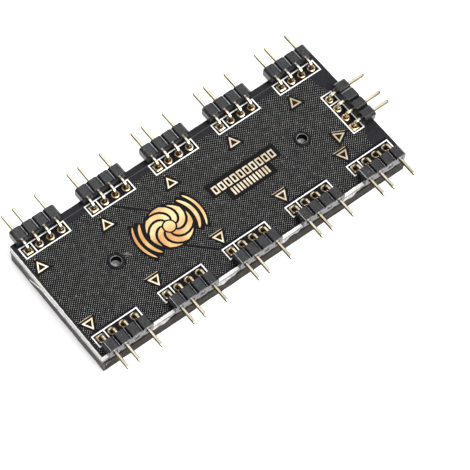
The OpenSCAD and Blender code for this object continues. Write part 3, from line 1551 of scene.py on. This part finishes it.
@dataclass
class Foam:
    """The foam pad, copied from its CAD solid with its cut sides made uneven."""

    node: Item
    spacing: float = 1.0
    layers: int = 6
    wander: float = 0.16
    rounding: float = 0.28
    waist: float = 0.10
    slack: float = 0.01

    def build(self) -> None:
        """Makes the foam piece."""
        low, high = box_of("foam_pad")
        mesh = bmesh.new()
        mesh.from_mesh(self.node.data)
        bmesh.ops.scale(mesh, vec=(1 / MM,) * 3, verts=mesh.verts)
        bmesh.ops.remove_doubles(mesh, verts=mesh.verts, dist=0.001)
        bmesh.ops.dissolve_limit(mesh, angle_limit=0.01, verts=mesh.verts, edges=mesh.edges)
        size = high - low
        counts = (round(size.x / self.spacing), round(size.y / self.spacing), self.layers)
        for axis, count in enumerate(counts):
            for i in range(1, count):
                self.divide(mesh, axis, size[axis] * i / count, low, high)
        for vert in mesh.verts:
            self.roughen(vert, low, high)
        bmesh.ops.triangulate(mesh, faces=[f for f in mesh.faces if len(f.verts) > 4])
        piece = settle(mesh, "foam_block", FOAM, ["foam_pad"], smooth=40)

    def divide(self, mesh: Mesh, axis: int, distance: float, low: Vector, high: Vector) -> None:
        """Divides the outer faces where a plane crosses them.

        Args:
            mesh: the foam.
            axis: the axis that the plane is square to.
            distance: how far up that axis it lies from the lowest corner.
            low: the pad's lowest corner.
            high: its highest corner.
        """
        normal = Vector([float(axis == i) for i in range(3)])
        spot = low + normal * distance
        faces = []
        for face in mesh.faces:
            places = [v.co[axis] for v in face.verts]
            if min(places) < spot[axis] < max(places) and self.is_outer(face, low, high):
                faces.append(face)
        geom = list({e for f in faces for e in f.edges}) + faces + list({v for f in faces for v in f.verts})
        bmesh.ops.bisect_plane(mesh, geom=geom, plane_co=spot, plane_no=normal, dist=1e-4)

    def is_outer(self, face: Face, low: Vector, high: Vector) -> bool:
        """Tells whether a face lies on the pad's sides or underside."""
        up, down = face.calc_center_median() - low, high - face.calc_center_median()
        return min(*up, *down.xy) < self.slack

    def roughen(self, vert: Vert, low: Vector, high: Vector) -> None:
        """Moves a vertex of the cut sides in or down a little.

        Args:
            vert: the vertex.
            low: the pad's lowest corner.
            high: its highest corner.
        """
        spot = vert.co.copy()
        inward = Vector((0, 0, 0))
        for axis in (0, 1):
            if spot[axis] - low[axis] < self.slack:
                inward[axis] = 1
            elif high[axis] - spot[axis] < self.slack:
                inward[axis] = -1
        if inward.length == 0:
            return
        lump = noise.fractal(spot * 0.45, 0.8, 2.0, 3) * 0.5 + 0.5
        fine = noise.noise(spot * 2.1) * 0.5 + 0.5
        height = (spot.z - low.z) / (high.z - low.z)
        press = self.rounding * max(0.0, 1 - height / 0.16) ** 2
        waist = self.waist * math.sin(math.pi * height)
        amount = self.wander * (0.65 * lump + 0.35 * fine) + press + waist
        corner = 1.3 if inward.length > 1.1 else 1.0
        vert.co += inward.normalized() * max(0.0, amount) * corner
        if height < 0.02:
            vert.co.z += 0.10 * lump


class Hang(Enum):
    """How the film's edge hangs."""

    LEDGE = "over the foam's ledge"
    FLUSH = "down the pad's side"
    PEELED = "away from the board"


class Side(Enum):
    """A side of the board: its outward direction, how the film hangs there, and a seed for its noise."""

    NEAR = (Vector((0, -1, 0)), Hang.LEDGE, 5)
    LEFT = (Vector((-1, 0, 0)), Hang.PEELED, 6)
    FAR = (Vector((0, 1, 0)), Hang.FLUSH, 5)
    RIGHT = (Vector((1, 0, 0)), Hang.FLUSH, 5)


@dataclass
class FilmSkins:
    """The torn edges of the pale film, which lie on the foam's ledge or hang down the pad's sides."""

    high: float = 4.14
    step: float = 0.35
    rows: int = 4
    thickness: float = 0.045
    peel_start: float = 4.4
    peel_end: float = 7.9
    ledge_path: tuple[Point, ...] = (
        (0.03, 3.9), (0.10, 3.66), (0.24, 3.52), (0.44, 3.49), (0.57, 3.4), (0.6, 2.7)
    )
    flush_path: tuple[Point, ...] = ((0.03, 4.14), (0.05, PLAN.foam_top), (0.10, 3.0))

    def build(self) -> None:
        """Makes the film's four edges as one piece."""
        mesh = bmesh.new()
        for side in Side:
            self.add_side(mesh, side)
        bmesh.ops.recalc_face_normals(mesh, faces=mesh.faces)
        bmesh.ops.solidify(mesh, geom=mesh.faces[:], thickness=self.thickness)
        settle(mesh, "film_edges", SKIN, smooth=60)

    def add_side(self, mesh: Mesh, side: Side) -> None:
        """Adds the film's edge on one side, as an open sheet.

        Args:
            mesh: the mesh to add to.
            side: the side.
        """
        outward = side.value[0]
        along = Vector((abs(outward.y), abs(outward.x), 0))
        reach, length = (PLAN.half_y, PLAN.half_x) if outward.y else (PLAN.half_x, PLAN.half_y)
        end = self.peel_end if side is Side.LEFT else length
        count = round((length + end) / self.step)
        columns = []
        for i in range(count + 1):
            place = (length + end) * i / count - length
            spots = [
                along * place + outward * (reach + out) + Vector((0, 0, height))
                for out, height in self.section(side, place)
            ]
            columns.append([mesh.verts.new(spot) for spot in spots])
        for left, right in zip(columns, columns[1:]):
            for j in range(self.rows - 1):
                mesh.faces.new((left[j], right[j], right[j + 1], left[j + 1]))

    def section(self, side: Side, place: float) -> list[Point]:
        """Gives the film's section at one place.

        Args:
            side: the side of the board.
            place: the distance along it.

        Returns:
            The distance out from the board's side and the height of each point, from the top down.
        """
        _, hang, seed = side.value
        wave = noise.noise((place * 0.42, 3.0 * seed, 0.0)) * 0.5 + 0.5
        tear = noise.noise((place * 2.3, 7.0 * seed, 0.0)) * 0.5 + 0.5
        if hang is Hang.LEDGE:
            hanging = self.bare(place) * (0.12 + 0.70 * max(0.0, wave * 1.6 - 0.5))
            return self.cut(self.ledge_path, 0.10 + 0.12 * tear + hanging)
        if hang is Hang.FLUSH:
            return self.cut(self.flush_path, 0.55 + 0.25 * wave + 0.1 * tear)
        peel = clamp((place - self.peel_start) / (self.peel_end - self.peel_start))
        top = self.high - 1.25 * peel
        share = clamp((place + 11.0) / 14.0)
        width = 0.06 + 0.14 * peel + share * (0.34 + 0.14 * wave + 0.06 * tear) * (1 - peel)
        upper, middle = (0.04 + 0.16 * peel, top), (0.07 + 0.26 * peel, top - width * 0.5)
        return self.cut([upper, middle, (0.09 + 0.22 * peel, top - width)], width)

    @staticmethod
    def bare(place: float) -> float:
        """Tells how far a place of the near side is clear of the headers and the corners.

        Args:
            place: the distance along the near side.

        Returns:
            A share from 0 to 1.
        """
        half = PLAN.pitch / 2
        across = abs((place + half) % PLAN.pitch - half)
        return clamp((across - 4.9) / 0.7) * clamp(35.0 - abs(place))

    def cut(self, path: Sequence[Point], length: float) -> list[Point]:
        """Gives evenly spaced points along the first part of a path.

        Args:
            path: the corners of the path.
            length: how much of it is kept.

        Returns:
            One point for each row of the film.
        """
        spots = []
        for j in range(self.rows):
            rest = length * j / (self.rows - 1)
            for (x0, z0), (x1, z1) in zip(path, path[1:]):
                span = math.hypot(x1 - x0, z1 - z0)
                if rest <= span or (x1, z1) == path[-1]:
                    share = min(1.0, rest / span)
                    spots.append((x0 + (x1 - x0) * share, z0 + (z1 - z0) * share))
                    break
                rest -= span
        return spots


@dataclass
class Board:
    """The circuit board's dressed CAD nodes and everything plated or printed on its face."""

    nodes: dict[str, Item]
    seats: Sequence[Seat]
    top: float

    def build(self) -> None:
        """Dresses the nodes and makes the pieces on the face."""
        dress(self.nodes["circuit_board"], MASK)
        dress(self.nodes["board_adhesive"], FILM)
        for seat in self.seats:
            dress(self.nodes[f"{seat.name}_solder"], SOLDER)
            Pads(seat).build()
        Legend(self.seats, self.top).build()
        PinOneMarks(self.seats, self.top).build()
        Emblem(self.top).build()
        BarRows(self.top).build()
        HoleRims(self.top).build()
        FilmSkins().build()


@dataclass(frozen=True)
class Lamp:
    """A square soft light that faces the hub: its place and side in metres, and its power in watts."""

    name: str
    place: Triple
    size: float
    power: float

    def build(self) -> None:
        """Makes the light."""
        data = bpy.data.lights.new(self.name, "AREA")
        data.shape, data.size, data.energy = "SQUARE", self.size, self.power
        light = bpy.data.objects.new(self.name, data)
        light.location = self.place
        light.rotation_euler = (-Vector(self.place)).to_track_quat("-Z", "Y").to_euler()
        bpy.context.scene.collection.objects.link(light)


@dataclass
class Studio:
    """The pale floor, the soft light and the camera."""

    target: Triple = (-1.1466, -8.9394, 5.8)
    distance: float = 420.909
    azimuth: float = -42.841
    elevation: float = 60.849
    roll: float = 5.270
    lens: float = 170.476
    horizon: float = 0.8
    zenith: float = 0.25
    sky_band: Point = (0.15, 0.4)
    floor_size: float = 2.5
    floor_drop: float = 0.02
    floor_glow: float = 0.4
    lamps: tuple[Lamp, ...] = (
        Lamp("key", (0.30, -0.45, 0.84), 1.0, 18.8),
        Lamp("rear", (-0.05, 0.85, 0.62), 1.26, 5.4),
        Lamp("card", (0.24, 0.375, 0.89), 0.56, 0.8),
    )

    def build_floor(self) -> None:
        """Makes the floor."""
        mesh = bmesh.new()
        bmesh.ops.create_grid(mesh, x_segments=8, y_segments=8, size=self.floor_size)
        bmesh.ops.translate(mesh, vec=(0, 0, -self.floor_drop * MM), verts=mesh.verts)
        data = bpy.data.meshes.new("floor")
        mesh.to_mesh(data)
        mesh.free()
        paint = Paint("floor_paper")
        data.materials.append(
            paint.finish(
                base_color=paint.blend(paint.noise(0.02), tint(236, 236, 236), tint(240, 240, 240)),
                roughness=0.9,
                specular_ior_level=0.2,
                emission_color=WHITE,
                emission_strength=self.floor_glow,
            )
        )
        floor = bpy.data.objects.new("floor", data)
        bpy.context.scene.collection.objects.link(floor)

    def build_sky(self, scene: bpy.types.Scene) -> None:
        """Makes the world: a light tent that is bright at its foot and dim overhead.

        Args:
            scene: the scene that it belongs to.
        """
        world = bpy.data.worlds.new("studio")
        world.use_nodes = True
        nodes, links = world.node_tree.nodes, world.node_tree.links
        back = nodes["Background"]
        split = nodes.new("ShaderNodeSeparateXYZ")
        ramp = nodes.new("ShaderNodeMapRange")
        ramp.interpolation_type = "SMOOTHSTEP"
        values = (*self.sky_band, self.horizon, self.zenith)
        for name, value in zip(("From Min", "From Max", "To Min", "To Max"), values):
            ramp.inputs[name].default_value = value
        links.new(nodes.new("ShaderNodeTexCoord").outputs["Generated"], split.inputs[0])
        links.new(split.outputs["Z"], ramp.inputs["Value"])
        links.new(ramp.outputs[0], back.inputs["Strength"])
        back.inputs["Color"].default_value = WHITE
        scene.world = world

    def build_camera(self) -> None:
        """Makes the camera at the photograph's viewing angle."""
        a, e, r = (math.radians(v) for v in (self.azimuth, self.elevation, self.roll))
        back = Vector((math.sin(a) * math.cos(e), -math.cos(a) * math.cos(e), math.sin(e)))
        level = Vector((math.cos(a), math.sin(a), 0))
        up = back.cross(level)
        right = level * math.cos(r) + up * math.sin(r)
        up = up * math.cos(r) - level * math.sin(r)
        data = bpy.data.cameras.new("camera")
        data.lens, data.sensor_width = self.lens, 36.0
        data.clip_start, data.clip_end = 0.01, 10.0
        camera = bpy.data.objects.new("camera", data)
        place = Matrix((right, up, back)).transposed().to_4x4()
        place.translation = (Vector(self.target) + back * self.distance) * MM
        camera.matrix_world = place
        bpy.context.scene.collection.objects.link(camera)
        bpy.context.scene.camera = camera

    def build(self) -> None:
        """Makes the whole studio."""
        scene = bpy.context.scene
        scene.view_settings.view_transform = "Standard"
        self.build_sky(scene)
        self.build_floor()
        for lamp in self.lamps:
            lamp.build()
        self.build_camera()


def main() -> None:
    """Builds the hub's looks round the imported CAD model."""
    logging.basicConfig(level=logging.INFO, format="%(name)s %(message)s")
    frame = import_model()
    nodes = frame["nodes"]
    top = box_of("circuit_board")[1].z
    names = sorted(name.removesuffix("_header") for name in nodes if name.endswith("_header"))
    seats = [Seat.read(name, top) for name in names]
    Studio().build()
    Board(nodes, seats, top).build()
    for seat in seats:
        Header(seat).build()
    Foam(nodes["foam_pad"]).build()


if __name__ == "__main__":
    main()
